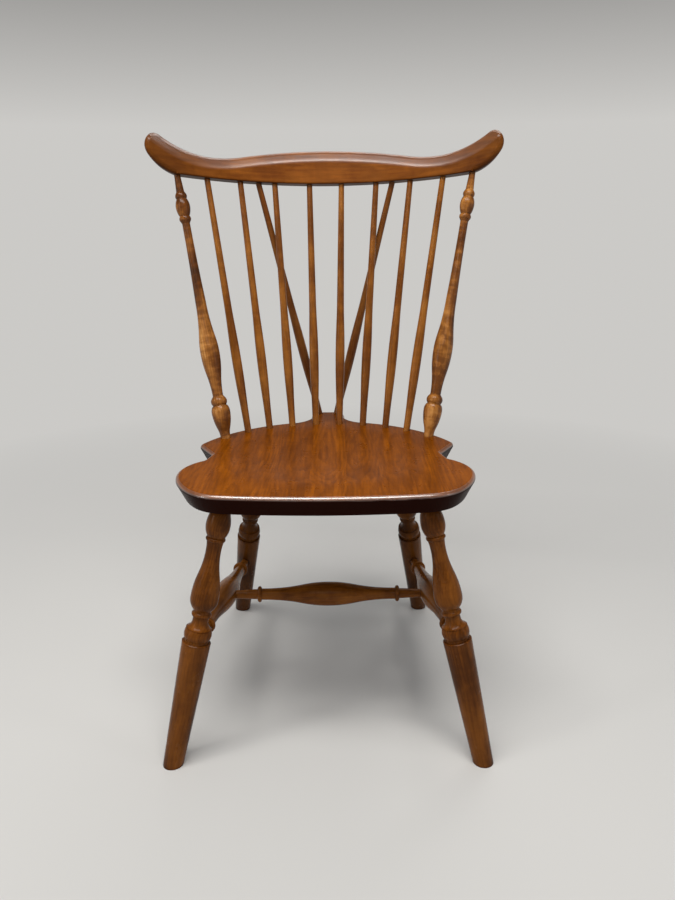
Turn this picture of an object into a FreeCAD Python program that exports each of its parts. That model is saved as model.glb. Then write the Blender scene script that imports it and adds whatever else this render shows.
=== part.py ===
import FreeCAD, Part
import math
import os
import re
import Sketcher

Vector = FreeCAD.Vector

# Windsor side chair with a fan back, braced from a tail behind the seat. Millimetres and degrees.
# X runs to the sitter's left as seen from in front, Y to the back, Z up, with the floor at zero.
# Every size below can be set by itself. Lengths along a turning run from its first end.

SEAT_SIZES = {
    "seat_height": 445,
    "seat_setback": 241.9,
    "seat_pitch": 1,
    "seat_thickness": 32,
    "seat_front_flat": 149,
    "seat_front_sweep": 9,
    "seat_shoulder_x": 202,
    "seat_shoulder_y": 39,
    "seat_half_width": 229,
    "seat_widest_y": 100,
    "seat_wing_end_x": 198.5,
    "seat_wing_end_y": 176,
    "seat_notch_x": 190,
    "seat_notch_y": 210,
    "seat_lobe_x": 220,
    "seat_lobe_y": 263,
    "seat_back_radius": 238.5,
    "tail_root_x": 60,
    "tail_half_width": 32,
    "tail_neck_y": 448,
    "tail_end_y": 480,
    "tail_corner_radius": 24,
    "wing_end_round": 12,
    "seat_notch_round": 10,
    "seat_lobe_round": 12.5,
    "tail_root_round": 12,
    "seat_top_round": 6.5,
    "seat_undercut": 12,
    "seat_side_land": 0.5,
    "dish_depth": 7,
    "dish_half_width": 170,
    "dish_half_length": 150,
    "dish_centre_y": 205,
}

# Glue lines between the seat boards, as places across the seat from its middle.
SEAT_GLUE_LINES = {
    "glue_line_1": -176,
    "glue_line_2": -127,
    "glue_line_3": -77.5,
    "glue_line_4": -24.5,
    "glue_line_5": 32,
    "glue_line_6": 84,
    "glue_line_7": 132,
    "glue_line_8": 178,
}

LEG_SIZES = {
    "front_socket_x": 153,
    "front_socket_y": 54.4,
    "front_foot_x": 243.7,
    "front_foot_y": -249.5,
    "rear_socket_x": 130,
    "rear_socket_y": 323,
    "rear_foot_x": 190.5,
    "rear_foot_y": 230.5,
    "leg_tenon_length": 24,
    "leg_tenon_show": 6,
    "leg_tenon_dia": 22.2,
    "leg_shoulder_dia": 26,
    "leg_ball_rise": 25,
    "leg_ball_dia": 37,
    "leg_ball_fall": 18,
    "leg_collar_dia": 26,
    "leg_bead_width": 6,
    "leg_bead_dia": 30,
    "leg_neck_fall": 16,
    "leg_neck_dia": 23,
    "leg_vase_rise": 76,
    "leg_vase_dia": 43,
    "leg_vase_fall": 19,
    "leg_vase_base_dia": 27,
    "leg_ring_gap": 3,
    "leg_ring_width": 7,
    "leg_ring_dia": 30.5,
    "leg_cove_width": 7,
    "leg_cove_dia": 24,
    "leg_flare_width": 12,
    "leg_flare_dia": 39.5,
    "leg_torus_base_dia": 37.5,
    "leg_torus_width": 18.5,
    "leg_torus_dia": 42.5,
    "leg_groove_width": 3.5,
    "leg_taper_dia": 44.5,
    "leg_arris": 1,
    "leg_foot_dia": 31,
    "leg_trim": 12,
}

STRETCHER_SIZES = {
    "side_stretcher_front_z": 200,
    "side_stretcher_rear_z": 142,
    "stretcher_tenon_dia": 15,
    "stretcher_tenon_reach": 28,
    "stretcher_end_dia": 18,
    "stretcher_ring_base_dia": 20,
    "stretcher_ring_dia": 28.5,
    "stretcher_ring_width": 7,
    "stretcher_neck": 5,
    "side_stretcher_ring_at": 66,
    "centre_stretcher_ring_at": 62,
    "stretcher_bulb_dia": 42.5,
}

BACK_SIZES = {
    "crest_rise": 419.6,
    "crest_y": 244,
    "crest_rake": 13,
    "crest_bend_radius": 462,
    "crest_thickness": 22,
    "crest_crown": 58.5,
    "crest_dip_x": 200,
    "crest_dip": 36.4,
    "ear_inner_x": 279,
    "ear_inner": 60,
    "ear_outer_x": 297,
    "ear_outer": 57,
    "ear_side_x": 298,
    "ear_side": 28,
    "ear_foot_x": 258,
    "ear_foot_radius": 61,
    "crest_round": 7,
    "crest_under_round": 3,
    "crest_tenon_length": 20,
    "spindle_circle_radius": 235,
    "spindle_circle_y": 153.4,
    "spindle_foot_1_x": 22.3,
    "spindle_foot_2_x": 65.9,
    "spindle_foot_3_x": 107.1,
    "spindle_foot_4_x": 144.2,
    "spindle_top_1_x": 29.2,
    "spindle_top_2_x": 92,
    "spindle_top_3_x": 152.6,
    "spindle_top_4_x": 208.2,
    "brace_foot_x": 17,
    "brace_foot_y": 464.4,
    "brace_top_x": 121.1,
    "brace_top_set_back": 3,
    "post_foot_x": 180.3,
    "post_foot_y": 301.9,
    "post_top_x": 255.4,
    "seat_tenon_length": 18,
    "seat_tenon_show": 3,
}

SPINDLE_SIZES = {
    "spindle_foot_dia": 12.2,
    "spindle_swell_rise": 122,
    "spindle_swell_dia": 17,
    "spindle_swell_fall": 110,
    "spindle_waist_dia": 13,
    "spindle_top_dia": 10.2,
}

POST_SIZES = {
    "post_foot_dia": 17.5,
    "post_bulb_rise": 44,
    "post_bulb_dia": 33,
    "post_bulb_fall": 10,
    "post_bulb_base_dia": 27,
    "post_groove_dia": 24.5,
    "post_groove_width": 2,
    "post_ring_width": 12,
    "post_ring_dia": 28.5,
    "post_neck_fall": 4,
    "post_neck_dia": 18.5,
    "post_vase_rise": 77,
    "post_vase_dia": 33.7,
    "post_vase_fall": 91,
    "post_shaft_dia": 18.5,
    "post_waist_dia": 13.7,
    "post_collar_rise": 3.5,
    "post_collar_base_dia": 17,
    "post_collar_width": 9,
    "post_collar_dia": 20.5,
    "post_ball_base_dia": 17.5,
    "post_ball_rise": 16.5,
    "post_ball_dia": 25,
    "post_ball_fall": 13.5,
    "post_bead_width": 9,
    "post_bead_dia": 20.4,
    "post_top_neck_fall": 3,
    "post_top_neck_dia": 14,
    "post_top_length": 26,
    "post_top_dia": 10.7,
}

FIT_SIZES = {
    "glue_clearance": 0.1,
    "socket_end_clearance": 1,
}

SIZE_GROUPS = (
    SEAT_SIZES,
    SEAT_GLUE_LINES,
    LEG_SIZES,
    STRETCHER_SIZES,
    BACK_SIZES,
    SPINDLE_SIZES,
    POST_SIZES,
    FIT_SIZES,
)

# A cutter runs this far past the face that it has to clear.
OVERRUN = 20

doc = FreeCAD.newDocument("windsor_chair")
sheet = doc.addObject("Spreadsheet::Sheet", "Sizes")
parts = []


def write_size(alias, number):
    """Adds one named number to the sheet."""
    write_size.row += 1
    sheet.set("A%d" % write_size.row, alias)
    sheet.set("B%d" % write_size.row, "%.9g" % number)
    sheet.setAlias("B%d" % write_size.row, alias)
    known_sizes[alias] = number


write_size.row = 0
known_sizes = {}
for group in SIZE_GROUPS:
    for size_name, size_number in group.items():
        write_size(size_name, size_number)
doc.recompute()


def number(text):
    """The value of a formula in the sheet's names."""
    return float(sheet.evalExpression(text))


def bound(text):
    """The same formula as another object has to write it."""
    return re.sub(
        r"[a-z]\w+",
        lambda word: "Sizes." + word.group() if word.group() in known_sizes else word.group(),
        text,
    )


def origin_plane(body, role):
    for feature in body.Origin.OriginFeatures:
        if feature.Role == role:
            return feature
    raise ValueError(role)


def new_sketch(body, name, role):
    sketch = body.newObject("Sketcher::SketchObject", name)
    sketch.AttachmentSupport = [(origin_plane(body, role), "")]
    sketch.MapMode = "FlatFace"
    return sketch


class Chain:
    """A closed chain of lines and arcs in a sketch, with each corner bound to the sheet."""

    def __init__(self, sketch):
        self.sketch = sketch
        self.points = []
        self.heading = None
        self.last = None
        self.first = None

    def limit(self, kind, *where, formula=None):
        """Adds a constraint, and binds its value where it has one."""
        if formula is None:
            self.sketch.addConstraint(Sketcher.Constraint(kind, *where))
            return
        index = self.sketch.addConstraint(Sketcher.Constraint(kind, *where, number(formula)))
        self.sketch.setExpression("Constraints[%d]" % index, bound(formula))

    def place(self, vertex, x, y):
        """Ties a vertex to its two coordinates."""
        for kind, axis, formula in (("DistanceX", -2, x), ("DistanceY", -1, y)):
            if formula == "0":
                self.limit("PointOnObject", *vertex, axis)
            else:
                self.limit(kind, -1, 1, *vertex, formula=formula)

    def begin(self, x, y):
        self.start_formulas = (x, y)
        self.points.append(Vector(number(x), number(y), 0))

    def add(self, curve, target, x, y, closing=False, joint="Coincident"):
        """Adds a curve from the last vertex to the next one."""
        index = self.sketch.addGeometry(curve, False)
        starts_here = self.sketch.getPoint(index, 1).distanceToPoint(self.points[-1]) < 1e-6
        tail, head = (1, 2) if starts_here else (2, 1)
        if self.last is None:
            self.first = (index, tail)
            self.place((index, tail), *self.start_formulas)
        else:
            self.limit(joint, *self.last, index, tail)
        if closing:
            self.limit("Coincident", index, head, *self.first)
        else:
            self.place((index, head), x, y)
        self.last = (index, head)
        self.points.append(target)
        return index

    def line(self, x, y):
        target = Vector(number(x), number(y), 0)
        self.heading = (target - self.points[-1]).normalize()
        return self.add(Part.LineSegment(self.points[-1], target), target, x, y)

    def close(self):
        target = self.points[0]
        self.add(Part.LineSegment(self.points[-1], target), target, "", "", closing=True)

    def arc(self, x, y, leave, joint="Coincident"):
        """An arc that sets out along the heading called leave."""
        here = self.points[-1]
        target = Vector(number(x), number(y), 0)
        chord = target - here
        turn = leave.x * chord.y - leave.y * chord.x
        radius = chord.dot(chord) / (2 * abs(turn))
        centre = here + Vector(-leave.y, leave.x, 0) * math.copysign(radius, turn)
        middle = centre + ((here + target) * 0.5 - centre).normalize() * radius
        self.heading = reflect(leave, chord)
        return self.add(Part.Arc(here, middle, target), target, x, y, joint=joint)

    def follow(self, x, y):
        """An arc that leaves the last curve smoothly."""
        self.arc(x, y, self.heading, joint="Tangent")

    def leave_along(self, x, y, heading, radius):
        """An arc of a bound radius that sets out along a heading."""
        index = self.arc(x, y, Vector(*heading, 0))
        self.limit("Radius", index, formula=radius)

    def arrive_along(self, x, y, heading, radius):
        """An arc of a bound radius that arrives along a heading."""
        chord = Vector(number(x), number(y), 0) - self.points[-1]
        index = self.arc(x, y, reflect(Vector(*heading, 0), chord))
        self.limit("Radius", index, formula=radius)

    def round(self, x, y, radius):
        """An arc of a bound radius that turns to the left."""
        chord = Vector(number(x), number(y), 0) - self.points[-1]
        half_turn = math.asin(chord.Length / (2 * number(radius)))
        bearing = math.atan2(chord.y, chord.x) - half_turn
        self.leave_along(x, y, (math.cos(bearing), math.sin(bearing)), radius)


def mirrored(point, side):
    return Vector(side * point.x, point.y, point.z)


def reflect(direction, chord):
    """The heading at the other end of an arc over this chord."""
    along = chord * (direction.dot(chord) / chord.dot(chord))
    return (along * 2 - direction).normalize()


def parabola_radius(run, rise):
    """The formula for an arc that is level at one end and climbs by rise over run."""
    return "((%s)^2 + (%s)^2) / (2 * abs(%s))" % (run, rise, rise)


class Turning(Chain):
    """Half the outline of a lathe-turned piece, from its first end along the lathe's axis."""

    def __init__(self, name, diameter):
        self.body = doc.addObject("PartDesign::Body", name + "_turning")
        super().__init__(new_sketch(self.body, name + "_profile", "XZ_Plane"))
        self.diameter = diameter
        self.at = "0"
        self.begin("0", "0")
        self.line("(%s) / 2" % diameter, "0")

    def onward(self, length):
        self.at = length if self.at == "0" else "%s + %s" % (self.at, length)
        return self.at

    def straight(self, length, diameter=None):
        """A cylinder, or a cone to another diameter."""
        self.diameter = diameter or self.diameter
        self.line("(%s) / 2" % self.diameter, self.onward(length))

    def shoulder(self, diameter):
        """A flat step to another diameter."""
        self.diameter = diameter
        self.line("(%s) / 2" % diameter, self.at)

    def leave_level(self, length, diameter):
        """A curve that starts along the axis."""
        self.curve(length, diameter, self.leave_along)

    def arrive_level(self, length, diameter):
        """A curve that ends along the axis."""
        self.curve(length, diameter, self.arrive_along)

    def curve(self, length, diameter, draw):
        rise = "((%s) - (%s)) / 2" % (diameter, self.diameter)
        radius = parabola_radius(length, rise)
        self.diameter = diameter
        draw("(%s) / 2" % diameter, self.onward(length), (0, 1), radius)

    def ogee(self, length, diameter, share):
        """Two arcs, level at both ends, that meet at the given share of the length."""
        first = "%g * (%s)" % (share, length)
        middle = "(%s) + %g * ((%s) - (%s))" % (self.diameter, share, diameter, self.diameter)
        self.leave_level(first, middle)
        self.arrive_level("%g * (%s)" % (1 - share, length), diameter)

    def bead(self, width, diameter):
        """A half-round ring, or a hollow where the diameter is the smaller."""
        base = self.diameter
        self.arrive_level("(%s) / 2" % width, diameter)
        self.leave_level("(%s) / 2" % width, base)

    def turned(self):
        """Closes the outline and spins it round the axis."""
        self.line("0", self.at)
        self.close()
        spin = self.body.newObject("PartDesign::Revolution", self.body.Name + "_spin")
        spin.Profile = self.sketch
        spin.ReferenceAxis = (self.sketch, ["V_Axis"])
        spin.Angle = 360
        self.sketch.Visibility = False
        self.body.Tip = spin
        return self.body


def seat_placement():
    pitch = FreeCAD.Rotation(Vector(1, 0, 0), -number("seat_pitch"))
    return FreeCAD.Placement(Vector(0, -number("seat_setback"), number("seat_height")), pitch)


def crest_placement():
    rake = FreeCAD.Rotation(Vector(1, 0, 0), -number("crest_rake"))
    height = number("seat_height + crest_rise")
    return FreeCAD.Placement(Vector(0, number("crest_y"), height), rake)


def seat_point(x, y, z="0"):
    """A point of the seat's own frame, whose origin is the middle of the front edge."""
    return seat_placement().multVec(Vector(number(x), number(y), number(z)))


def crest_point(x, set_back="0"):
    """A point of the crest rail's lower edge, half-way through its thickness."""
    across = number(x)
    bend = number("crest_bend_radius")
    sag = bend - math.sqrt(bend**2 - across**2)
    return crest_placement().multVec(Vector(across, number(set_back) - sag, 0))


def aimed(start, end, lead=0.0):
    """A placement whose Z axis runs from start to end, beginning lead before start."""
    direction = (end - start).normalize()
    return FreeCAD.Placement(start - direction * lead, FreeCAD.Rotation(Vector(0, 0, 1), direction))


def socket(name, start, end, diameter, depth, mouth="%g" % OVERRUN):
    """A round hole from depth before start to mouth past it, on the way to end."""
    hole = doc.addObject("Part::Cylinder", name)
    hole.setExpression("Radius", bound("(%s) / 2 + glue_clearance" % diameter))
    hole.setExpression("Height", bound("%s + socket_end_clearance + %s" % (depth, mouth)))
    hole.Placement = aimed(start, end, number(depth) + number("socket_end_clearance"))
    return hole


def gathered(name, members):
    group = doc.addObject("Part::Compound", name)
    group.Links = members
    return group


def cut(name, base, tool):
    piece = doc.addObject("Part::Cut", name)
    piece.Base = base
    piece.Tool = tool
    return piece


def shared(name, base, tool):
    piece = doc.addObject("Part::Common", name)
    piece.Base = base
    piece.Tool = tool
    return piece


def finish(piece, label):
    """Marks an object as one piece of the chair."""
    piece.Label = label
    parts.append(piece)
    return piece


def span_size(name, start, end):
    """Puts the length of a piece between its two seats into the sheet."""
    write_size(name, start.distanceToPoint(end))
    sheet.recompute()
    return name


# The legs

LEG_ENDS = {}
for rank in ("front", "rear"):
    top = seat_point(rank + "_socket_x", rank + "_socket_y", "-seat_thickness")
    foot = Vector(number(rank + "_foot_x"), number(rank + "_foot_y"), 0)
    LEG_ENDS[rank] = (top, foot)
    span_size(rank + "_leg_span", top, foot)


def leg_turning(name, span):
    leg = Turning(name, "leg_tenon_dia")
    leg.straight("leg_tenon_length + leg_tenon_show")
    leg.shoulder("leg_shoulder_dia")
    leg.arrive_level("leg_ball_rise", "leg_ball_dia")
    leg.leave_level("leg_ball_fall", "leg_collar_dia")
    leg.bead("leg_bead_width", "leg_bead_dia")
    leg.arrive_level("leg_neck_fall", "leg_neck_dia")
    leg.ogee("leg_vase_rise", "leg_vase_dia", 0.5)
    leg.leave_level("leg_vase_fall", "leg_vase_base_dia")
    leg.straight("leg_ring_gap")
    leg.bead("leg_ring_width", "leg_ring_dia")
    leg.shoulder("leg_cove_dia")
    leg.straight("leg_cove_width")
    leg.leave_level("leg_flare_width", "leg_flare_dia")
    leg.shoulder("leg_torus_base_dia")
    leg.bead("leg_torus_width", "leg_torus_dia")
    leg.straight("leg_groove_width")
    leg.shoulder("leg_taper_dia - 2 * leg_arris")
    leg.straight("leg_arris", "leg_taper_dia")
    leg.straight("%s + leg_tenon_length + leg_trim - (%s)" % (span, leg.at), "leg_foot_dia")
    return leg.turned()


def leg_point(rank, height):
    """Where a leg's axis is at a height above the floor."""
    top, foot = LEG_ENDS[rank]
    return foot + (top - foot) * (number(height) / top.z)


def below_floor():
    slab = doc.addObject("Part::Box", "below_floor")
    slab.Length = 900
    slab.Width = 900
    slab.Height = 60
    slab.Placement.Base = Vector(-450, -450, -60)
    return slab


# The stretchers

def side_stretcher_ends():
    return leg_point("front", "side_stretcher_front_z"), leg_point("rear", "side_stretcher_rear_z")


def stretcher_turning(name, span, ring_at):
    half = "(%s) / 2" % span
    ring_start = "%s - stretcher_ring_width / 2" % ring_at
    rod = Turning(name, "stretcher_tenon_dia")
    rod.straight("stretcher_tenon_reach")
    rod.straight("%s - stretcher_tenon_reach" % ring_start, "stretcher_end_dia")
    rod.shoulder("stretcher_ring_base_dia")
    rod.bead("stretcher_ring_width", "stretcher_ring_dia")
    rod.straight("stretcher_neck")
    swell = "%s - %s - stretcher_ring_width / 2 - stretcher_neck" % (half, ring_at)
    rod.ogee(swell, "stretcher_bulb_dia", 0.6)
    rod.ogee(swell, "stretcher_ring_base_dia", 0.4)
    rod.straight("stretcher_neck")
    rod.bead("stretcher_ring_width", "stretcher_ring_dia")
    rod.shoulder("stretcher_end_dia")
    rod.straight("%s - stretcher_tenon_reach" % ring_start, "stretcher_tenon_dia")
    rod.straight("stretcher_tenon_reach")
    return rod.turned()


def mortise_at(name, axis_point, far_end):
    """The socket for a stretcher whose tenon ends on the axis of the piece that holds it."""
    mouth = "stretcher_tenon_reach + %g" % OVERRUN
    return socket(name, axis_point, far_end, "stretcher_tenon_dia", "0", mouth)


front_joint, rear_joint = side_stretcher_ends()
span_size("side_stretcher_span", front_joint, rear_joint)
middle_joint = (front_joint + rear_joint) * 0.5
span_size("centre_stretcher_span", middle_joint, mirrored(middle_joint, -1))

stretcher_holes = {"front": [], "rear": [], "side": []}
for side, hand in ((-1, "left"), (1, "right")):
    start = mirrored(front_joint, side)
    end = mirrored(rear_joint, side)
    blank = stretcher_turning("side_stretcher_" + hand, "side_stretcher_span", "side_stretcher_ring_at")
    blank.Placement = aimed(start, end)
    centre = mirrored(middle_joint, side)
    mortise = mortise_at("centre_mortise_" + hand, centre, mirrored(centre, -1))
    finish(cut("side_stretcher_%s_bored" % hand, blank, mortise), "side_stretcher_" + hand)
    for rank, near, far in (("front", start, end), ("rear", end, start)):
        hole = mortise_at("%s_mortise_%s" % (rank, hand), near, far)
        stretcher_holes[rank].append((hand, hole))

centre_blank = stretcher_turning("centre_stretcher", "centre_stretcher_span", "centre_stretcher_ring_at")
centre_blank.Placement = aimed(mirrored(middle_joint, -1), middle_joint)
finish(centre_blank, "centre_stretcher")

floor_cutter = below_floor()
seat_holes = []
for rank in ("front", "rear"):
    top, foot = LEG_ENDS[rank]
    for side, (hand, mortise) in zip((-1, 1), stretcher_holes[rank]):
        name = "leg_%s_%s" % (rank, hand)
        blank = leg_turning(name, rank + "_leg_span")
        blank.Placement = aimed(mirrored(top, side), mirrored(foot, side), number("leg_tenon_length"))
        tools = gathered(name + "_cuts", [floor_cutter, mortise])
        finish(cut(name + "_trimmed", blank, tools), name)
        seat_holes.append(
            socket(name + "_socket", mirrored(top, side), mirrored(foot, side),
                   "leg_tenon_dia", "leg_tenon_length"))


# The back

def spindle_turning(name, span):
    rod = Turning(name, "spindle_foot_dia")
    rod.straight("seat_tenon_length + seat_tenon_show")
    rod.ogee("spindle_swell_rise", "spindle_swell_dia", 0.5)
    rod.ogee("spindle_swell_fall", "spindle_waist_dia", 0.6)
    rod.straight("%s + seat_tenon_length - seat_tenon_show - (%s)" % (span, rod.at), "spindle_top_dia")
    rod.straight("crest_tenon_length + seat_tenon_show")
    return rod.turned()


def post_turning(name, span):
    """The shaft takes up what the turned details at both ends leave of the length."""
    top = ("post_collar_rise + post_collar_width + post_ball_rise + post_ball_fall + post_bead_width"
           " + post_top_neck_fall + post_top_length")
    post = Turning(name, "post_foot_dia")
    post.straight("seat_tenon_length + seat_tenon_show")
    post.ogee("post_bulb_rise", "post_bulb_dia", 0.3)
    post.leave_level("post_bulb_fall", "post_bulb_base_dia")
    post.shoulder("post_groove_dia")
    post.straight("post_groove_width")
    post.bead("post_ring_width", "post_ring_dia")
    post.straight("post_neck_fall", "post_neck_dia")
    post.ogee("post_vase_rise", "post_vase_dia", 0.5)
    post.ogee("post_vase_fall", "post_shaft_dia", 0.3)
    shaft = "%s + seat_tenon_length - seat_tenon_show - (%s) - (%s)" % (span, top, post.at)
    post.arrive_level(shaft, "post_waist_dia")
    post.straight("post_collar_rise", "post_collar_base_dia")
    post.bead("post_collar_width", "post_collar_dia")
    post.arrive_level("post_ball_rise", "post_ball_dia")
    post.leave_level("post_ball_fall", "post_ball_base_dia")
    post.bead("post_bead_width", "post_bead_dia")
    post.straight("post_top_neck_fall", "post_top_neck_dia")
    post.straight("post_top_length", "post_top_dia")
    post.straight("crest_tenon_length + seat_tenon_show")
    return post.turned()


def spindle_foot(x):
    across = number(x)
    reach = math.sqrt(number("spindle_circle_radius") ** 2 - across**2)
    return seat_placement().multVec(Vector(across, number("spindle_circle_y") + reach, 0))


crest_holes = []


def add_upright(label, side, foot, top, turning, foot_dia, top_dia):
    """Turns one upright and bores its sockets in the seat and in the crest rail."""
    start = mirrored(foot, side)
    end = mirrored(top, side)
    span = span_size(label + "_span", start, end)
    blank = turning(label, span)
    blank.Placement = aimed(start, end, number("seat_tenon_length"))
    finish(blank, label)
    seat_holes.append(socket(label + "_seat_socket", start, end, foot_dia, "seat_tenon_length"))
    crest_holes.append(socket(label + "_crest_socket", end, start, top_dia, "crest_tenon_length"))


SPINDLES_A_SIDE = 4
for order in range(2 * SPINDLES_A_SIDE):
    side = -1 if order < SPINDLES_A_SIDE else 1
    rank = SPINDLES_A_SIDE - order if side < 0 else order - SPINDLES_A_SIDE + 1
    foot = spindle_foot("spindle_foot_%d_x" % rank)
    top = crest_point("spindle_top_%d_x" % rank)
    add_upright("spindle_%d" % (order + 1), side, foot, top, spindle_turning,
                "spindle_foot_dia", "spindle_top_dia")

for side, hand in ((-1, "left"), (1, "right")):
    foot = seat_point("brace_foot_x", "brace_foot_y")
    top = crest_point("brace_top_x", "brace_top_set_back")
    add_upright("brace_spindle_" + hand, side, foot, top, spindle_turning,
                "spindle_foot_dia", "spindle_top_dia")
    foot = seat_point("post_foot_x", "post_foot_y")
    top = crest_point("post_top_x")
    add_upright("back_post_" + hand, side, foot, top, post_turning,
                "post_foot_dia", "post_top_dia")


# The crest rail

def bent_slab():
    """The steamed blank: a flat board bent round an upright axis in front of it."""
    body = doc.addObject("PartDesign::Body", "crest_blank")
    sketch = new_sketch(body, "crest_plan", "XY_Plane")
    bend = number("crest_bend_radius")
    half = number("crest_thickness") / 2
    spread = math.asin((number("ear_side_x") + OVERRUN) / bend)
    centre = Vector(0, -bend, 0)
    rims = []
    for radius, formula in ((bend - half, "crest_bend_radius - crest_thickness / 2"),
                            (bend + half, "crest_bend_radius + crest_thickness / 2")):
        circle = Part.Circle(centre, Vector(0, 0, 1), radius)
        rim = sketch.addGeometry(
            Part.ArcOfCircle(circle, math.pi / 2 - spread, math.pi / 2 + spread), False)
        index = sketch.addConstraint(Sketcher.Constraint("Radius", rim, radius))
        sketch.setExpression("Constraints[%d]" % index, bound(formula))
        rims.append(rim)
    for end in (1, 2):
        side = sketch.addGeometry(
            Part.LineSegment(sketch.getPoint(rims[0], end), sketch.getPoint(rims[1], end)), False)
        sketch.addConstraint(Sketcher.Constraint("Coincident", side, 1, rims[0], end))
        sketch.addConstraint(Sketcher.Constraint("Coincident", side, 2, rims[1], end))
    sketch.addConstraint(Sketcher.Constraint("Coincident", rims[0], 3, rims[1], 3))
    sketch.addConstraint(Sketcher.Constraint("PointOnObject", rims[0], 3, -2))
    index = sketch.addConstraint(Sketcher.Constraint("DistanceY", rims[0], 3, -1, 1, bend))
    sketch.setExpression("Constraints[%d]" % index, bound("crest_bend_radius"))
    pad = body.newObject("PartDesign::Pad", "crest_board")
    pad.Profile = sketch
    pad.setExpression("Length", bound("crest_crown + ear_inner + %g" % OVERRUN))
    sketch.Visibility = False
    return body


def crest_outline():
    """The rail seen from in front: crown, dips and upswept ears."""
    body = doc.addObject("PartDesign::Body", "crest_pattern")
    chain = Chain(new_sketch(body, "crest_front", "XZ_Plane"))
    share = 0.75
    swell_x = "%g * crest_dip_x" % share
    swell = "crest_crown - %g * (crest_crown - crest_dip)" % share
    drop = "%g * (crest_crown - crest_dip)" % share
    rest_drop = "%g * (crest_crown - crest_dip)" % (1 - share)
    crown_radius = parabola_radius(swell_x, drop)
    dip_radius = parabola_radius("%g * crest_dip_x" % (1 - share), rest_drop)
    ear_radius = parabola_radius("ear_inner_x - crest_dip_x", "ear_inner - crest_dip")
    chain.begin("0", "0")
    chain.line("ear_foot_x", "0")
    chain.round("ear_side_x", "ear_side", "ear_foot_radius")
    chain.follow("ear_outer_x", "ear_outer")
    chain.follow("ear_inner_x", "ear_inner")
    chain.arrive_along("crest_dip_x", "crest_dip", (-1, 0), ear_radius)
    chain.leave_along(swell_x, swell, (-1, 0), dip_radius)
    chain.arrive_along("0", "crest_crown", (-1, 0), crown_radius)
    chain.close()
    pad = body.newObject("PartDesign::Pad", "crest_half")
    pad.Profile = chain.sketch
    pad.SideType = "Symmetric"
    pad.setExpression("Length", bound("2 * crest_bend_radius"))
    mirror = body.newObject("PartDesign::Mirrored", "crest_whole")
    mirror.Originals = [pad]
    mirror.MirrorPlane = (origin_plane(body, "YZ_Plane"), [""])
    body.Tip = mirror
    chain.sketch.Visibility = False
    return body


def edges_where(shape, test):
    """The names of the edges whose ends and middle all pass the test."""
    names = []
    for index, edge in enumerate(shape.Edges, 1):
        first, last = edge.ParameterRange
        samples = [edge.valueAt(first + (last - first) * share) for share in (0.02, 0.5, 0.98)]
        if all(test(point) for point in samples):
            names.append("Edge%d" % index)
    return names


def on_edges(body, kind, name, test):
    """Puts a fillet or chamfer on the edges of a body's last feature that pass the test."""
    doc.recompute()
    base = body.Tip
    dressing = body.newObject(kind, name)
    dressing.Base = (base, edges_where(base.Shape, test))
    base.Visibility = False
    body.Tip = dressing
    return dressing


def rim_edges(board, under):
    """Numbers of the edges between the rail's faces and its outline, below or all the rest."""
    bend = number("crest_bend_radius")
    half = number("crest_thickness") / 2
    found = []
    for index, edge in enumerate(board.Shape.Edges, 1):
        first, last = edge.ParameterRange
        middle = edge.valueAt((first + last) / 2)
        points = (edge.valueAt(first), middle, edge.valueAt(last))
        offsets = [abs(math.hypot(point.x, point.y + bend) - bend) for point in points]
        on_a_face = all(abs(offset - half) < 0.01 for offset in offsets)
        is_under = middle.z < 0.5 and abs(middle.x) < number("ear_foot_x")
        if on_a_face and is_under == under:
            found.append(index)
    return found


def eased(name, base, radius, under):
    """The rail with its lower edges, or all its other ones, rounded."""
    doc.recompute()
    piece = doc.addObject("Part::Fillet", name)
    piece.Base = base
    piece.Edges = [(index, number(radius), number(radius)) for index in rim_edges(base, under)]
    return piece


def crest_rail():
    blank = bent_slab()
    blank.Placement.Base = Vector(0, 0, -OVERRUN)
    board = shared("crest_sawn", blank, crest_outline())
    topped = eased("crest_topped", board, "crest_round", False)
    shaped = eased("crest_shaped", topped, "crest_under_round", True)
    shaped.Placement = crest_placement()
    piece = cut("crest_rail_bored", shaped, gathered("crest_sockets", crest_holes))
    return finish(piece, "crest_rail")


# The seat

def seat_outline():
    """Half the seat seen from above, from the middle of the front edge round to the tail."""
    body = doc.addObject("PartDesign::Body", "seat_blank")
    chain = Chain(new_sketch(body, "seat_plan", "XY_Plane"))
    centre = "seat_lobe_y - sqrt(seat_back_radius^2 - seat_lobe_x^2)"
    root_y = "%s + sqrt(seat_back_radius^2 - tail_root_x^2)" % centre
    front_radius = parabola_radius("seat_front_flat", "seat_front_sweep")
    neck_radius = parabola_radius("tail_neck_y - (%s)" % root_y, "tail_root_x - tail_half_width")
    chain.begin("0", "0")
    chain.leave_along("seat_front_flat", "seat_front_sweep", (1, 0), front_radius)
    chain.follow("seat_shoulder_x", "seat_shoulder_y")
    chain.follow("seat_half_width", "seat_widest_y")
    chain.follow("seat_wing_end_x", "seat_wing_end_y")
    chain.line("seat_notch_x", "seat_notch_y")
    chain.line("seat_lobe_x", "seat_lobe_y")
    chain.round("tail_root_x", root_y, "seat_back_radius")
    chain.arrive_along("tail_half_width", "tail_neck_y", (0, 1), neck_radius)
    chain.line("tail_half_width", "tail_end_y - tail_corner_radius")
    chain.leave_along("tail_half_width - tail_corner_radius", "tail_end_y", (0, 1), "tail_corner_radius")
    chain.line("0", "tail_end_y")
    chain.close()
    chain.sketch.Visibility = False
    corners = {
        "wing_end": ("seat_wing_end_x", "seat_wing_end_y"),
        "seat_notch": ("seat_notch_x", "seat_notch_y"),
        "seat_lobe": ("seat_lobe_x", "seat_lobe_y"),
        "tail_root": ("tail_root_x", root_y),
    }
    return body, chain.sketch, corners


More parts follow.
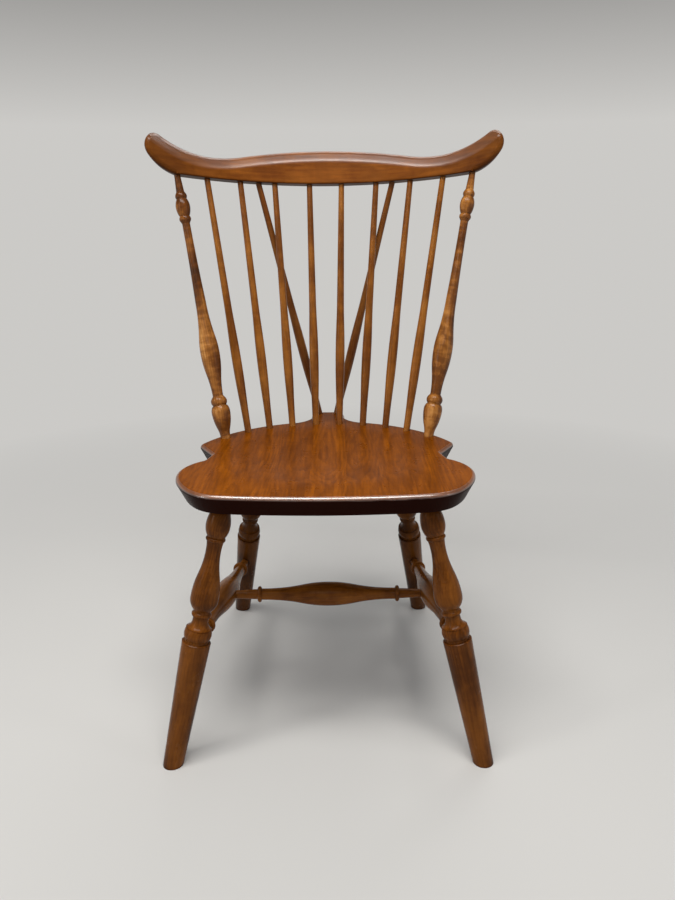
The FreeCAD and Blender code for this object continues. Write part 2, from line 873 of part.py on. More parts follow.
def upright_at(corner):
    """Picks the upright edges at a corner of the plan, on either side."""
    x, y = (number(formula) for formula in corner)
    return lambda point: math.hypot(abs(point.x) - x, point.y - y) < 0.01


def level_at(z):
    return lambda point: abs(point.z - z) < 0.01


def seat_blank():
    """The flat seat, with its wall cut back on the slant below the rounded top edge."""
    body, sketch, corners = seat_outline()
    pad = body.newObject("PartDesign::Pad", "seat_half")
    pad.Profile = sketch
    pad.Reversed = True
    pad.setExpression("Length", bound("seat_thickness"))
    mirror = body.newObject("PartDesign::Mirrored", "seat_whole")
    mirror.Originals = [pad]
    mirror.MirrorPlane = (origin_plane(body, "YZ_Plane"), [""])
    body.Tip = mirror
    for name in ("wing_end", "seat_notch", "seat_lobe", "tail_root"):
        corner = on_edges(body, "PartDesign::Fillet", name + "_corner", upright_at(corners[name]))
        corner.setExpression("Radius", bound(name + "_round"))
    top = on_edges(body, "PartDesign::Fillet", "seat_top_edge", level_at(0))
    top.setExpression("Radius", bound("seat_top_round"))
    slant = on_edges(body, "PartDesign::Chamfer", "seat_slant", level_at(-number("seat_thickness")))
    slant.ChamferType = "Two distances"
    slant.setExpression("Size", bound("seat_thickness - seat_top_round - seat_side_land"))
    slant.setExpression("Size2", bound("seat_undercut"))
    body.Placement = seat_placement()
    return body


def dish_cutter():
    """A block whose lower face, swung round a far axis above the seat, scoops the dish."""
    across = parabola_radius("dish_half_width", "dish_depth")
    along = parabola_radius("dish_half_length", "dish_depth")
    rim = "dish_depth - %s" % along
    body = doc.addObject("PartDesign::Body", "dish_scoop")
    chain = Chain(new_sketch(body, "dish_section", "XZ_Plane"))
    chain.begin("dish_half_width", "%s + dish_depth" % rim)
    chain.line("-dish_half_width", "%s + dish_depth" % rim)
    chain.line("-dish_half_width", rim)
    chain.round("dish_half_width", rim, across)
    chain.close()
    chain.sketch.Visibility = False
    swing = body.newObject("PartDesign::Revolution", "dish_swing")
    swing.Profile = chain.sketch
    swing.ReferenceAxis = (chain.sketch, ["H_Axis"])
    swing.Midplane = True
    swing.setExpression("Angle", bound("4 * asin(dish_half_length / (%s))" % along))
    body.Tip = swing
    axis_height = number(along) - number("dish_depth")
    centre = FreeCAD.Placement(Vector(0, number("dish_centre_y"), axis_height), FreeCAD.Rotation())
    body.Placement = seat_placement().multiply(centre)
    return body


def seat_boards():
    """Scoops and bores the blank, then parts it along its glue lines."""
    scooped = cut("seat_scooped", seat_blank(), dish_cutter())
    seat = cut("seat_bored", scooped, gathered("seat_sockets", seat_holes))
    edge = "seat_half_width + %g" % OVERRUN
    lines = ["-(%s)" % edge] + list(SEAT_GLUE_LINES) + [edge]
    for order, (left, right) in enumerate(zip(lines, lines[1:]), 1):
        space = doc.addObject("Part::Box", "seat_board_%d_space" % order)
        space.setExpression("Length", bound("%s - (%s)" % (right, left)))
        space.setExpression("Width", bound("tail_end_y + %g" % (2 * OVERRUN)))
        space.setExpression("Height", bound("seat_thickness + %g" % (2 * OVERRUN)))
        corner = Vector(number(left), -OVERRUN, -number("seat_thickness") - OVERRUN)
        space.Placement = seat_placement().multiply(FreeCAD.Placement(corner, FreeCAD.Rotation()))
        finish(shared("seat_board_%d_sawn" % order, seat, space), "seat_board_%d" % order)


def check_and_write():
    """Stops on any failed object, then writes one file for each piece."""
    doc.recompute()
    for thing in doc.Objects:
        if "Invalid" in thing.State or "Error" in thing.State:
            raise RuntimeError("%s: %s" % (thing.Name, thing.getStatusString()))
    for piece in parts:
        shape = piece.Shape
        if shape.isNull() or not shape.isValid() or not shape.Solids:
            raise RuntimeError("%s has no valid solid" % piece.Label)
    os.makedirs("parts", exist_ok=True)
    for piece in parts:
        piece.Shape.exportStep("parts/%s.step" % piece.Label)
        print("%-22s %9.0f mm3, %d solid" % (piece.Label, piece.Shape.Volume, len(piece.Shape.Solids)))


crest_rail()
seat_boards()
check_and_write()
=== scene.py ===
import bpy
import math
import numpy as np
from mathutils import Matrix, Vector


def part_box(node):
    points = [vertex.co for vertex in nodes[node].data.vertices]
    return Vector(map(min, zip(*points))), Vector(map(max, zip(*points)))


# A fan-back, brace-back Windsor chair in stained and lacquered hardwood. Metres, Z up, front towards -Y.

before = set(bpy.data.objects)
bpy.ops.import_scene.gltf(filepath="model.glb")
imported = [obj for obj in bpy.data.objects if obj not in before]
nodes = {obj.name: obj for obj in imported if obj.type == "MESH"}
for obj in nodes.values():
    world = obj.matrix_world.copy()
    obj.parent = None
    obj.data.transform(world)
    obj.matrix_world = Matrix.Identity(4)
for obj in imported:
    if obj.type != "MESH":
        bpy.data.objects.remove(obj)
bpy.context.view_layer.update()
MM = 0.001


def srgb(red, green, blue):
    """A colour written as it looks on screen, 0 to 255, in the linear values that a shader takes."""
    def linear(level):
        level /= 255
        return level / 12.92 if level <= 0.04045 else ((level + 0.055) / 1.055) ** 2.4
    return (linear(red), linear(green), linear(blue), 1)


# Colours of the stain: where it has gathered in a groove, a colour that also serves as painted shade, then
# from its darkest to its palest on the flat.
GLAZE_AND_SHADE = srgb(34, 10, 4)
CREST_STAIN = (srgb(64, 27, 3), srgb(102, 51, 8), srgb(132, 71, 15), srgb(178, 112, 42))
SEAT_STAIN = (srgb(68, 29, 2), srgb(118, 60, 3), srgb(148, 79, 6), srgb(184, 110, 20))
POST_STAIN = (srgb(50, 20, 4), srgb(98, 50, 12), srgb(146, 90, 34), srgb(196, 138, 74))
SPINDLE_STAIN = (srgb(62, 27, 5), srgb(106, 54, 11), srgb(138, 80, 22), srgb(182, 122, 52))
LEG_STAIN = (srgb(30, 12, 2), srgb(74, 37, 8), srgb(110, 60, 15), srgb(154, 94, 34))

# Paleness, 0 to 1, at which the four colours of a stain stand, and that of wood with no figure in it.
STAIN_STOPS = (0.0, 0.42, 0.68, 1.0)
PLAIN_LEVEL = 0.47


class Graph:
    """The node tree of a material or a world, built by calls that return sockets."""

    def __init__(self, owner):
        self.owner = owner
        owner.use_nodes = True
        self.tree = owner.node_tree
        self.tree.nodes.clear()

    def node(self, kind, settings=None, **inputs):
        made = self.tree.nodes.new("ShaderNode" + kind)
        for key, value in (settings or {}).items():
            setattr(made, key, value)
        for key, value in inputs.items():
            self.feed(made.inputs[key.replace("_", " ")], value)
        return made

    def feed(self, socket, value):
        if isinstance(value, bpy.types.NodeSocket):
            self.tree.links.new(value, socket)
        else:
            socket.default_value = value

    def math(self, operation, *values):
        made = self.node("Math", {"operation": operation})
        for socket, value in zip(made.inputs, values):
            self.feed(socket, value)
        return made.outputs[0]

    def vector(self, operation, first, second=None):
        made = self.node("VectorMath", {"operation": operation})
        self.feed(made.inputs[0], first)
        if second is not None:
            self.feed(made.inputs[1], second)
        return made.outputs["Value" if operation == "LENGTH" else "Vector"]

    def noise(self, where, scale, detail, roughness, distortion):
        made = self.node("TexNoise", {"noise_dimensions": "3D"}, Vector=where, Scale=scale,
                         Detail=detail, Roughness=roughness, Distortion=distortion)
        return made.outputs["Fac"]

    def spread(self, value, low, high, new_low=0.0, new_high=1.0, kind="LINEAR"):
        """Maps low to high on to new_low to new_high, and stops at the ends."""
        made = self.node("MapRange", {"clamp": True, "interpolation_type": kind}, Value=value)
        for key, number in (("From Min", low), ("From Max", high), ("To Min", new_low), ("To Max", new_high)):
            made.inputs[key].default_value = number
        return made.outputs["Result"]

    def swing(self, noise, amount):
        """A noise's swing to either side of its middle, times the amount."""
        return self.math("MULTIPLY", self.math("SUBTRACT", noise, 0.5), amount)

    def ramp(self, value, stops):
        made = self.node("ValToRGB", Fac=value)
        elements = made.color_ramp.elements
        while len(elements) < len(stops):
            elements.new(0.5)
        for element, (place, colour) in zip(elements, stops):
            element.position = place
            element.color = colour
        return made.outputs["Color"]

    def mix(self, share, first, second):
        """Two colours mixed: the first at a share of 0, the second at 1."""
        made = self.node("Mix", {"data_type": "RGBA", "clamp_factor": True})
        self.feed(made.inputs["Factor"], share)
        self.feed(made.inputs[6], first)
        self.feed(made.inputs[7], second)
        return made.outputs[2]

    def mix_shaders(self, share, first, second):
        """Two shaders mixed: the first at a share of 0, the second at 1."""
        made = self.node("MixShader", Fac=share)
        self.feed(made.inputs[1], first)
        self.feed(made.inputs[2], second)
        return made.outputs[0]

    def parts(self, vector):
        """A vector's X, Y and Z."""
        return self.node("SeparateXYZ", Vector=vector).outputs

    def point(self, kind="Object"):
        return self.node("TexCoord").outputs[kind]

    def normal(self, kind="Normal"):
        return self.node("NewGeometry").outputs[kind]

    def backdrop_ray(self):
        """1 for the rays that show the backdrop, the camera's own and those off gloss, and 0 for the rest."""
        ray = self.node("LightPath").outputs
        return self.math("MAXIMUM", ray["Is Camera Ray"], ray["Is Glossy Ray"])


def straight_grain(graph, place):
    """Coordinates of a piece whose grain runs straight: Z along it, metres, from the place given."""
    made = graph.node("Mapping", {"vector_type": "TEXTURE"}, Vector=graph.point())
    made.inputs["Location"].default_value = place.to_translation()
    made.inputs["Rotation"].default_value = place.to_euler()
    return made.outputs["Vector"]


def bent_grain(graph, place, bend):
    """Coordinates of a piece whose grain follows a bend of the radius given: Z along it."""
    across, depth, height = graph.parts(straight_grain(graph, place))
    back = graph.math("ADD", depth, bend)
    along = graph.math("MULTIPLY", graph.math("ARCTAN2", across, back), bend)
    square = graph.math("ADD", graph.math("MULTIPLY", across, across), graph.math("MULTIPLY", back, back))
    out = graph.math("SUBTRACT", graph.math("SQRT", square), bend)
    return graph.node("CombineXYZ", X=out, Y=height, Z=along).outputs[0]


# The wood's noises: what multiplies X, Y and Z first, then scale per metre, detail, roughness and distortion.
# Z runs along the grain, so a small third number draws a noise out along it.
NOISES = {
    "wander": ((1, 1, 0.25), 22, 2, 0.5, 0),
    "fibre": ((1, 1, 0.07), 1300, 3, 0.6, 0),
    "streak": ((1, 1, 0.07), 210, 3, 0.55, 0),
    "cloud": ((1, 1, 0.45), 26, 3, 0.55, 0),
    "curl": ((0.5, 0.5, 1.6), 75, 2, 0.5, 0.6),
    "smear": ((1, 1, 0.6), 48, 3, 0.6, 0),
}
SEED_STEP = (0.31, 0.17, 0.73)

# Year rings: how wide one is, how many of them the wander swings them by, how fast they taper along the
# grain, where in a ring the late wood starts and is darkest, and how much it darkens.
RING_WIDTH = 3.1 * MM
RING_WANDER = 4.5
RING_TAPER = 0.035
LATE_START = 0.45
LATE_PEAK = 0.93
LATE_DEPTH = 0.11

# How strongly the noises colour the wood, and how high they stand.
STREAK_DEPTH = 0.6
FIBRE_DEPTH = 0.34
CURL_DEPTH = 0.5
FIBRE_HEIGHT = 0.014 * MM
STREAK_HEIGHT = 0.026 * MM

# Occlusion outside the wood finds its hollows and the gaps between parts, and inside it the crisp edges: how
# far each looks, then the readings from none of the painted shade and glaze in a hollow to all of it, and
# from an edge that isn't rubbed to wood that is.
HOLLOW_REACH = 9 * MM
HOLLOW_RANGE = (0.7, 0.25)
EDGE_REACH = 4 * MM
EDGE_RANGE = (0.55, 0.95)
OCCLUSION_SAMPLES = 12

# Wood is rubbed least where the cloud noise is low, and the lacquer is roughest where the smear is high.
CLOUD_RANGE = (0.4, 0.65)
LEAST_RUBBED = 0.25
SMEAR_RANGE = (0.3, 0.7)
SMEAR_ROUGHNESS = 0.1
LACQUER_IOR = 1.42


def late_wood(graph, local, pith, wander):
    """Late wood, 0 to 1, which darkens through a year's ring and stops short at the next."""
    across = graph.vector("MULTIPLY", local, (1, 1, RING_TAPER))
    distance = graph.vector("LENGTH", graph.vector("SUBTRACT", across, (*pith, 0)))
    wandered = graph.math("MULTIPLY", wander, RING_WANDER)
    season = graph.math("FRACT", graph.math("ADD", graph.math("DIVIDE", distance, RING_WIDTH), wandered))
    darkening = graph.spread(season, LATE_START, LATE_PEAK)
    return graph.math("MULTIPLY", darkening, graph.spread(season, 1.0, LATE_PEAK))


def rub_in(graph, colour, cloud, wear, palest):
    """Painted shade and glaze in hollows and gaps, and all but crisp edges rubbed paler, more in some clouds.
    """
    sampled = {"samples": OCCLUSION_SAMPLES}
    hollow = graph.node("AmbientOcclusion", sampled, Distance=HOLLOW_REACH)
    inward = graph.node("AmbientOcclusion", {**sampled, "inside": True, "only_local": True},
                        Distance=EDGE_REACH)
    # Painted shade, and the glaze that gathers there, in hollows and in the gaps between parts.
    colour = graph.mix(graph.spread(hollow.outputs["AO"], *HOLLOW_RANGE), colour, GLAZE_AND_SHADE)
    rubbed = graph.math("MULTIPLY", graph.spread(inward.outputs["AO"], *EDGE_RANGE),
                        graph.spread(cloud, *CLOUD_RANGE, LEAST_RUBBED))
    return graph.mix(graph.math("MULTIPLY", rubbed, wear), colour, palest)


def wood(name, coordinates, seed, pith, stain, tone=0.0, figure=0.5, blotch=0.5, wear=0.5, gloss=0.19,
         shine=0.25, shade=None, relief=None, polish=None, carved=True):
    """Stained and lacquered maple. The pith is where the tree's middle ran, across the grain.

    Tone makes a piece paler, figure and blotch are how strongly it is curled and clouded, and wear is how far
    it is rubbed if it is carved. Gloss is its least roughness and shine its specular level. Shade gives the
    share of the dark glaze colour: painted shade on the seat and the crest rail's lower edge, and a plain
    darkening on the rail's ears and the legs' tapers. Relief gives a height in metres and polish more shine,
    each from the graph. A carved piece also takes painted shade in its hollows.
    """
    graph = Graph(bpy.data.materials.new(name))
    local = coordinates(graph)
    shifted = graph.vector("ADD", local, [step * seed for step in SEED_STEP])
    noise = {kind: graph.noise(graph.vector("MULTIPLY", shifted, squeeze), *settings)
             for kind, (squeeze, *settings) in NOISES.items()}

    level = PLAIN_LEVEL + tone
    for kind, depth in (("cloud", blotch), ("streak", STREAK_DEPTH), ("fibre", FIBRE_DEPTH),
                        ("curl", CURL_DEPTH * figure)):
        level = graph.math("ADD", level, graph.swing(noise[kind], depth))
    late = late_wood(graph, local, pith, noise["wander"])
    level = graph.math("SUBTRACT", level, graph.math("MULTIPLY", late, LATE_DEPTH))
    colour = graph.ramp(level, list(zip(STAIN_STOPS, stain)))
    # Painted shade on most faces it reaches, and a plain darkening on the crest's ears and the legs' tapers.
    if shade:
        colour = graph.mix(shade(graph), colour, GLAZE_AND_SHADE)
    if carved:
        colour = rub_in(graph, colour, noise["cloud"], wear, stain[-1])

    roughness = graph.spread(noise["smear"], *SMEAR_RANGE, gloss, gloss + SMEAR_ROUGHNESS)
    height = graph.math("ADD", graph.math("MULTIPLY", noise["fibre"], FIBRE_HEIGHT),
                        graph.math("MULTIPLY", noise["streak"], STREAK_HEIGHT))
    if relief:
        height = graph.math("ADD", height, relief(graph))
    bump = graph.node("Bump", Height=height, Strength=1.0, Distance=1.0)
    shader = graph.node("BsdfPrincipled", Base_Color=colour, Roughness=roughness, Normal=bump.outputs[0])
    shader.inputs["IOR"].default_value = LACQUER_IOR
    shader.inputs["Specular IOR Level"].default_value = shine
    if polish:
        graph.feed(shader.inputs["Specular IOR Level"], graph.math("ADD", shine, polish(graph)))
    graph.node("OutputMaterial", Surface=shader.outputs[0])
    return graph.owner


def finish_node(name, material):
    """Gives a piece its material."""
    piece = nodes[name]
    piece.data.materials.clear()
    piece.data.materials.append(material)


def painted_shade_below(graph, full, none):
    """Painted shade on faces that look down or outwards: full at one Z of their normal, none at a higher one.
    """
    return graph.spread(graph.parts(graph.normal())["Z"], none, full)


# The first seed of each kind of piece. The pieces count on from it, so no two have the same figure.
SEEDS = {"back_post": 1, "brace_spindle": 3, "spindle": 5, "leg": 14, "side_stretcher": 20,
         "centre_stretcher": 22, "crest_rail": 25, "seat_board": 31}

HANDS = ("left", "right")
UP = (0, 0, 1)
DOWN = (0, 0, -1)
BACK = (0, 1, 0)
RIGHT = (1, 0, 0)

# How far a turned piece's pith is off its axis, and the angle from one seed's side to the next.
TURNED_PITH = 18 * MM
PITH_TURN = 2.4


def turning_place(name, onward):
    """Where a turned piece's axis starts and points: Z along it, the way that onward points."""
    points = np.array([vertex.co for vertex in nodes[name].data.vertices])
    centre = points.mean(0)
    direction = Vector(np.linalg.svd(points - centre, full_matrices=False)[2][0])
    if direction.dot(Vector(onward)) < 0:
        direction.negate()
    along = (points - centre) @ np.array(direction)
    start = Vector(centre) + direction * float(along.min())
    turn = direction.to_track_quat("Z", "Y").to_matrix().to_4x4()
    return Matrix.Translation(start) @ turn


def turned(name, onward, seed, **look):
    """Finishes a turned piece, with its pith off the axis on a side that the seed picks."""
    place = turning_place(name, onward)
    turn = PITH_TURN * seed
    pith = (TURNED_PITH * math.cos(turn), TURNED_PITH * math.sin(turn))
    finish_node(name, wood(name, lambda graph: straight_grain(graph, place), seed, pith, **look))


SPINDLES = 8
SPINDLE_TONE_STEP = 0.03


def finish_back():
    for side, hand in enumerate(HANDS):
        turned("back_post_" + hand, UP, SEEDS["back_post"] + side, stain=POST_STAIN, figure=1.6,
               blotch=1.9, wear=0.2, gloss=0.16)
        turned("brace_spindle_" + hand, UP, SEEDS["brace_spindle"] + side, stain=SPINDLE_STAIN,
               tone=-0.15, wear=0.3)
    for count in range(SPINDLES):
        number = count + 1
        turned("spindle_%d" % number, UP, SEEDS["spindle"] + count, stain=SPINDLE_STAIN,
               tone=SPINDLE_TONE_STEP * (number % 3 - 1), figure=0.8, blotch=0.9, wear=0.4, gloss=0.17)


# Tones of the front and rear legs: the rear legs' darker tone is painted shade.
LEG_TONES = {"front": 0.07, "rear": -0.18}

# How much darker the tapers are made, and the heights over the floor from none of it to all of it.
TAPER_DARKENING = 0.3
TAPER_DARKENING_NONE = 210 * MM
TAPER_DARKENING_FULL = 150 * MM


def taper_darkening(graph):
    """Darker lower down on the plain tapers, below the turned group."""
    height = graph.parts(graph.point())["Z"]
    return graph.spread(height, TAPER_DARKENING_NONE, TAPER_DARKENING_FULL, 0, TAPER_DARKENING)


def finish_base():
    for row, (rank, tone) in enumerate(LEG_TONES.items()):
        for side, hand in enumerate(HANDS):
            turned("leg_%s_%s" % (rank, hand), DOWN, SEEDS["leg"] + 2 * row + side, stain=LEG_STAIN,
                   blotch=0.7, wear=0.3, shine=0.13, tone=tone, shade=taper_darkening)
    for side, hand in enumerate(HANDS):
        turned("side_stretcher_" + hand, BACK, SEEDS["side_stretcher"] + side, stain=LEG_STAIN, shine=0.15,
               tone=0.07)
    turned("centre_stretcher", RIGHT, SEEDS["centre_stretcher"], stain=LEG_STAIN, shine=0.15, tone=0.12)


# The crest rail as in the CAD: the radius of its bend, then its lower edge's middle and its rake. Its pith
# lay inside the bend and above the lower edge.
CREST_BEND = 462 * MM
CREST_PLACE = Matrix.Translation(Vector((0, 244, 864.6)) * MM) @ Matrix.Rotation(math.radians(-13), 4, "X")
CREST_PITH = (-160 * MM, 30 * MM)

# The rail's top edge over its lower edge, metres, close to the CAD's outline: a height, then the rises added
# to it. A rise grows as a square from nothing at its first distance off the middle to all of it at its
# second, and holds beyond that: the fall from the crown, the turn into the dip and the upswept ear.
CREST_TOP = 53 * MM
CREST_TOP_RISES = ((0, 150 * MM, -16.6 * MM), (200 * MM, 150 * MM, 5.5 * MM), (200 * MM, 300 * MM, 37.8 * MM))

# The front face turns in over this width below the top edge, by this depth. Faces turn from sideways to
# forwards over this range of their normal's Y.
ROUND_OVER_WIDTH = 20 * MM
ROUND_OVER_DEPTH = 7.5 * MM
FORWARDS = (0.0, -0.3)

# The top edge's added shine, and the distances below it from none of it to all of it. Then how much darker
# the ears are made, and the distances off the rail's middle from none of it to all of it.
CREST_SHINE = 1.6
CREST_SHINE_RANGE = (22 * MM, 14 * MM)
EAR_DARKENING = 0.38
EAR_DARKENING_RANGE = (170 * MM, 270 * MM)


def below_crest_top(graph):
    """How far a place on the crest rail lies below the rail's top edge."""
    across, _, height = graph.parts(straight_grain(graph, CREST_PLACE))
    side = graph.math("ABSOLUTE", across)
    top = CREST_TOP
    for start, end, rise in CREST_TOP_RISES:
        share = graph.math("POWER", graph.spread(side, start, end), 2)
        top = graph.math("ADD", top, graph.math("MULTIPLY", share, rise))
    return graph.math("SUBTRACT", top, height)


def crest_round_over(graph):
    """Relief that broadens the rounding of the front face's top edge."""
    turned_in = graph.spread(below_crest_top(graph), ROUND_OVER_WIDTH, 0, 0, -ROUND_OVER_DEPTH, "SMOOTHSTEP")
    in_front = graph.spread(graph.parts(graph.normal("True Normal"))["Y"], *FORWARDS)
    return graph.math("MULTIPLY", turned_in, in_front)


def crest_polish(graph):
    """The rail's rounded top edge is rubbed to a higher shine."""
    return graph.spread(below_crest_top(graph), *CREST_SHINE_RANGE, 0, CREST_SHINE)


def crest_shade(graph):
    """Painted shade all over the rail's lower edge, and a thinner darkening towards its ears."""
    side = graph.math("ABSOLUTE", graph.parts(graph.point())["X"])
    ears = graph.spread(side, *EAR_DARKENING_RANGE, 0, EAR_DARKENING)
    return graph.math("MAXIMUM", painted_shade_below(graph, full=-0.9, none=-0.1), ears)


def finish_crest():
    finish_node("crest_rail", wood(
        "crest_rail", lambda graph: bent_grain(graph, CREST_PLACE, CREST_BEND), SEEDS["crest_rail"],
        CREST_PITH, CREST_STAIN, figure=0.35, blotch=0.45, wear=0.2, gloss=0.33, shine=0.12,
        shade=crest_shade, polish=crest_polish, relief=crest_round_over))


# The seat as in the CAD: its front edge's middle and its pitch, then the dish's half sizes and how far its
# middle lies behind the front edge.
SEAT_PLACE = Matrix.Translation(Vector((0, -241.9, 445)) * MM) @ Matrix.Rotation(math.radians(-1), 4, "X")
DISH_HALF_WIDTH = 170 * MM
DISH_HALF_LENGTH = 150 * MM
DISH_MIDDLE = 205 * MM

# How softly the dish's rim is eased, as an addition under a square root, and how high the easing stands.
RIM_SOFTNESS = 0.09
RIM_HEIGHT = 3.5 * MM

# Painted shade towards the seat's rear, and the Y from none of it to all of it.
REAR_SHADE = 0.3
REAR_SHADE_RANGE = (-120 * MM, 180 * MM)

# Shine added to the boards' own, on the sawn side and on the rounded rim. By the Z of a face's normal, one
# gives way to the other over the first range, and the flat top, with none, gives way to both over the second.
SIDE_SHINE = -0.05
RIM_SHINE = 3.2
SIDE_TO_RIM = (0.1, 0.4)
TOP_TO_RIM = (0.98, 0.93)

# A tone for each board, then its pith: how deep it lay below the top, how far it swings sideways and down
# from board to board, and the angle that it swings on by.
BOARD_TONES = (0.01, -0.02, 0.0, -0.06, 0.05, -0.01, 0.01, -0.03, 0.0)
BOARD_PITH_DEPTH = 55 * MM
BOARD_PITH_SHIFT = (12 * MM, 20 * MM)
BOARD_PITH_TURN = 3.7


def dish_rim(graph):
    """Relief that eases the rim of the seat's dish: its depth, softened, less its depth as it is."""
    across, along, _ = graph.parts(straight_grain(graph, SEAT_PLACE))
    wide = graph.math("DIVIDE", across, DISH_HALF_WIDTH)
    long = graph.math("DIVIDE", graph.math("SUBTRACT", along, DISH_MIDDLE), DISH_HALF_LENGTH)
    outward = graph.math("ADD", graph.math("POWER", wide, 2), graph.math("POWER", long, 2))
    inside = graph.math("SUBTRACT", 1.0, outward)
    soft = graph.math("SQRT", graph.math("ADD", graph.math("POWER", inside, 2), RIM_SOFTNESS))
    return graph.math("MULTIPLY", graph.math("SUBTRACT", soft, graph.math("ABSOLUTE", inside)), -RIM_HEIGHT)


def seat_shade(graph):
    """Painted shade all over the seat's side and underside, and a little towards the rear of its top."""
    rear = graph.spread(graph.parts(graph.point())["Y"], *REAR_SHADE_RANGE, 0, REAR_SHADE)
    return graph.math("MAXIMUM", painted_shade_below(graph, full=0.15, none=0.6), rear)


def rim_polish(graph):
    """The seat's rounded rim is rubbed to a higher shine, and its sawn side is duller than its top."""
    rise = graph.parts(graph.normal())["Z"]
    rubbed = graph.spread(rise, *SIDE_TO_RIM, SIDE_SHINE, RIM_SHINE)
    return graph.math("MULTIPLY", rubbed, graph.spread(rise, *TOP_TO_RIM))


def finish_seat():
    for count, tone in enumerate(BOARD_TONES):
        number = count + 1
        name = "seat_board_%d" % number
        low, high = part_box(name)
        start = Vector(((low.x + high.x) / 2, low.y, high.z))
        place = Matrix.Translation(start) @ Matrix.Rotation(-math.pi / 2, 4, "X")
        lean = math.sin(BOARD_PITH_TURN * number)
        pith = (BOARD_PITH_SHIFT[0] * lean, BOARD_PITH_DEPTH + BOARD_PITH_SHIFT[1] * lean)
        finish_node(name, wood(
            name, lambda graph, place=place: straight_grain(graph, place), SEEDS["seat_board"] + count, pith,
            SEAT_STAIN, tone=tone, figure=0.3, blotch=0.4, gloss=0.26, shine=0.07, shade=seat_shade,
            relief=dish_rim, polish=rim_polish, carved=False))


# The backdrop's colour, then its colour overhead and the upward slopes of sight between which it dims.
BACKDROP = (0.6, 0.59, 0.57, 1)
OVERHEAD = (0.17, 0.165, 0.16, 1)
DIMMING = (0.08, 0.3)
AMBIENT = (0.95, 0.97, 1.0, 1)
AMBIENT_STRENGTH = 0.3

# The floor is a disc of rings that widen outwards. It fades into the backdrop between two radii.
FLOOR_COLOUR = (0.62, 0.61, 0.59, 1)
FLOOR_RADIUS = 14.0
FLOOR_RINGS = 24
FLOOR_SIDES = 96
FLOOR_FADE = (0.7, 1.9)


def floor_mesh():
    turns = [math.tau * side / FLOOR_SIDES for side in range(FLOOR_SIDES)]
    points = [(0, 0, 0)]
    for ring in range(1, FLOOR_RINGS + 1):
        reach = FLOOR_RADIUS * (ring / FLOOR_RINGS) ** 2
        points += [(reach * math.cos(turn), reach * math.sin(turn), 0) for turn in turns]
    faces = [(0, 1 + side, 1 + (side + 1) % FLOOR_SIDES) for side in range(FLOOR_SIDES)]
    for ring in range(FLOOR_RINGS - 1):
        inner = 1 + ring * FLOOR_SIDES
        outer = inner + FLOOR_SIDES
        for side in range(FLOOR_SIDES):
            onward = (side + 1) % FLOOR_SIDES
            faces.append((inner + side, outer + side, outer + onward, inner + onward))
    mesh = bpy.data.meshes.new("floor")
    mesh.from_pydata(points, [], faces)
    return mesh


def stage_floor():
    """A pale round floor that fades into the backdrop."""
    mesh = floor_mesh()
    floor = bpy.data.objects.new("floor", mesh)
    bpy.context.scene.collection.objects.link(floor)
    graph = Graph(bpy.data.materials.new("floor"))
    distance = graph.vector("LENGTH", graph.point())
    matt = graph.node("BsdfDiffuse", Color=FLOOR_COLOUR)
    glow = graph.node("Emission", Color=BACKDROP)
    share = graph.math("MULTIPLY", graph.spread(distance, *FLOOR_FADE), graph.backdrop_ray())
    graph.node("OutputMaterial", Surface=graph.mix_shaders(share, matt.outputs[0], glow.outputs[0]))
    mesh.materials.append(graph.owner)


def light_world():
    """Even light all round, and a backdrop that dims upwards from just over the horizon."""
    graph = Graph(bpy.data.worlds.new("studio"))
    bpy.context.scene.world = graph.owner
    slope = graph.parts(graph.point("Generated"))["Z"]
    ambient = graph.node("Background", Color=AMBIENT, Strength=AMBIENT_STRENGTH)
    backdrop = graph.node("Background", Color=graph.mix(graph.spread(slope, *DIMMING), BACKDROP, OVERHEAD))
    surface = graph.mix_shaders(graph.backdrop_ray(), ambient.outputs[0], backdrop.outputs[0])
    graph.node("OutputWorld", Surface=surface)


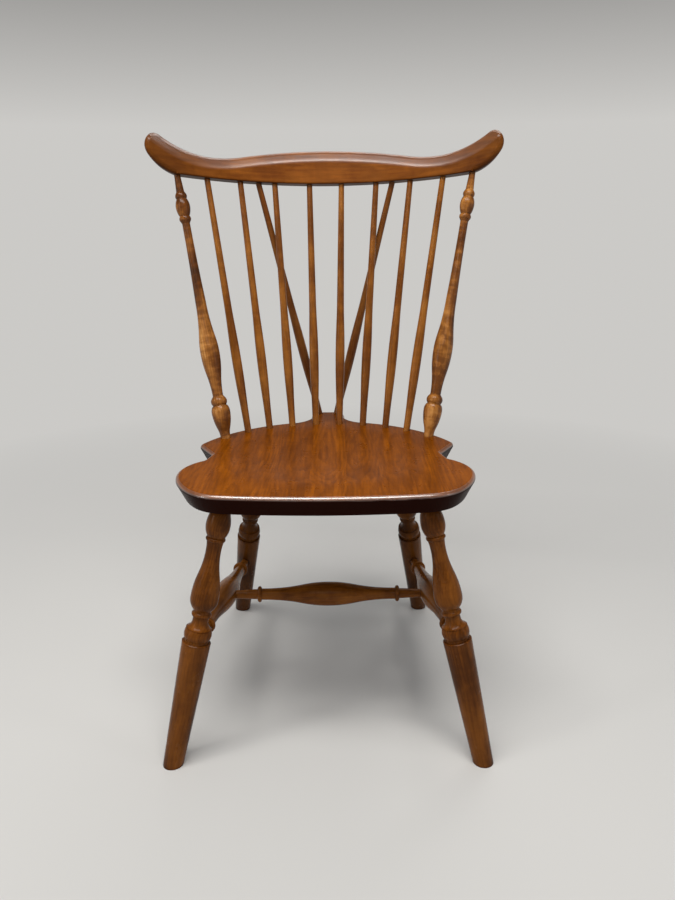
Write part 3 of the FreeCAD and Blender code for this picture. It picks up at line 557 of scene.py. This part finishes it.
def soft_box(name, place, width, height, watts, colour, aim_height=0.5):
    """A rectangular lamp that points at a height over the middle of the floor."""
    lamp = bpy.data.lights.new(name, "AREA")
    lamp.shape = "RECTANGLE"
    lamp.size = width
    lamp.size_y = height
    lamp.energy = watts
    lamp.color = colour
    lamp_object = bpy.data.objects.new(name, lamp)
    lamp_object.location = place
    aim = Vector((0, 0, aim_height)) - Vector(place)
    lamp_object.rotation_euler = aim.to_track_quat("-Z", "Y").to_euler()
    bpy.context.scene.collection.objects.link(lamp_object)


WARM = (1, 0.985, 0.96)
WARMER = (1, 0.98, 0.95)
COOL = (0.96, 0.98, 1)


def light_stage():
    light_world()
    soft_box("sky", (-0.2, -0.8, 2.7), 2.2, 0.7, 58, WARM)
    soft_box("front", (-0.3, -2.2, 2.1), 1.6, 0.25, 5, WARM)
    soft_box("rear", (0.4, 1.6, 2.6), 1.4, 0.4, 12, WARM)
    soft_box("left", (-2.4, -1.3, 1.5), 0.3, 1.6, 8, WARMER, aim_height=0.6)
    soft_box("right", (2.6, -1.2, 1.6), 0.4, 1.6, 4, COOL)


# The camera as fitted to the photograph. The focal length is in the pixels of a frame this many high.
CAMERA_PLACE = Vector((20.6, -1229.2, 844.6)) * MM
CAMERA_YAW = math.radians(-0.103)
CAMERA_PITCH = math.radians(18.44)
CAMERA_ROLL = math.radians(-0.484)
FOCAL_PIXELS = 760
FRAME_PIXELS = 900
SENSOR_HEIGHT = 24


def place_camera():
    """The photograph's viewpoint, level when the pitch is 0, and looking down as it grows."""
    lens = bpy.data.cameras.new("camera")
    lens.sensor_fit = "VERTICAL"
    lens.sensor_height = SENSOR_HEIGHT
    lens.lens = SENSOR_HEIGHT * FOCAL_PIXELS / FRAME_PIXELS
    camera = bpy.data.objects.new("camera", lens)
    turn = Matrix.Rotation(-CAMERA_YAW, 4, "Z")
    turn = turn @ Matrix.Rotation(math.pi / 2 - CAMERA_PITCH, 4, "X") @ Matrix.Rotation(CAMERA_ROLL, 4, "Z")
    camera.matrix_world = Matrix.Translation(CAMERA_PLACE) @ turn
    bpy.context.scene.collection.objects.link(camera)
    bpy.context.scene.camera = camera


finish_back()
finish_base()
finish_crest()
finish_seat()
stage_floor()
light_stage()
place_camera()
bpy.context.scene.view_settings.view_transform = "Standard"
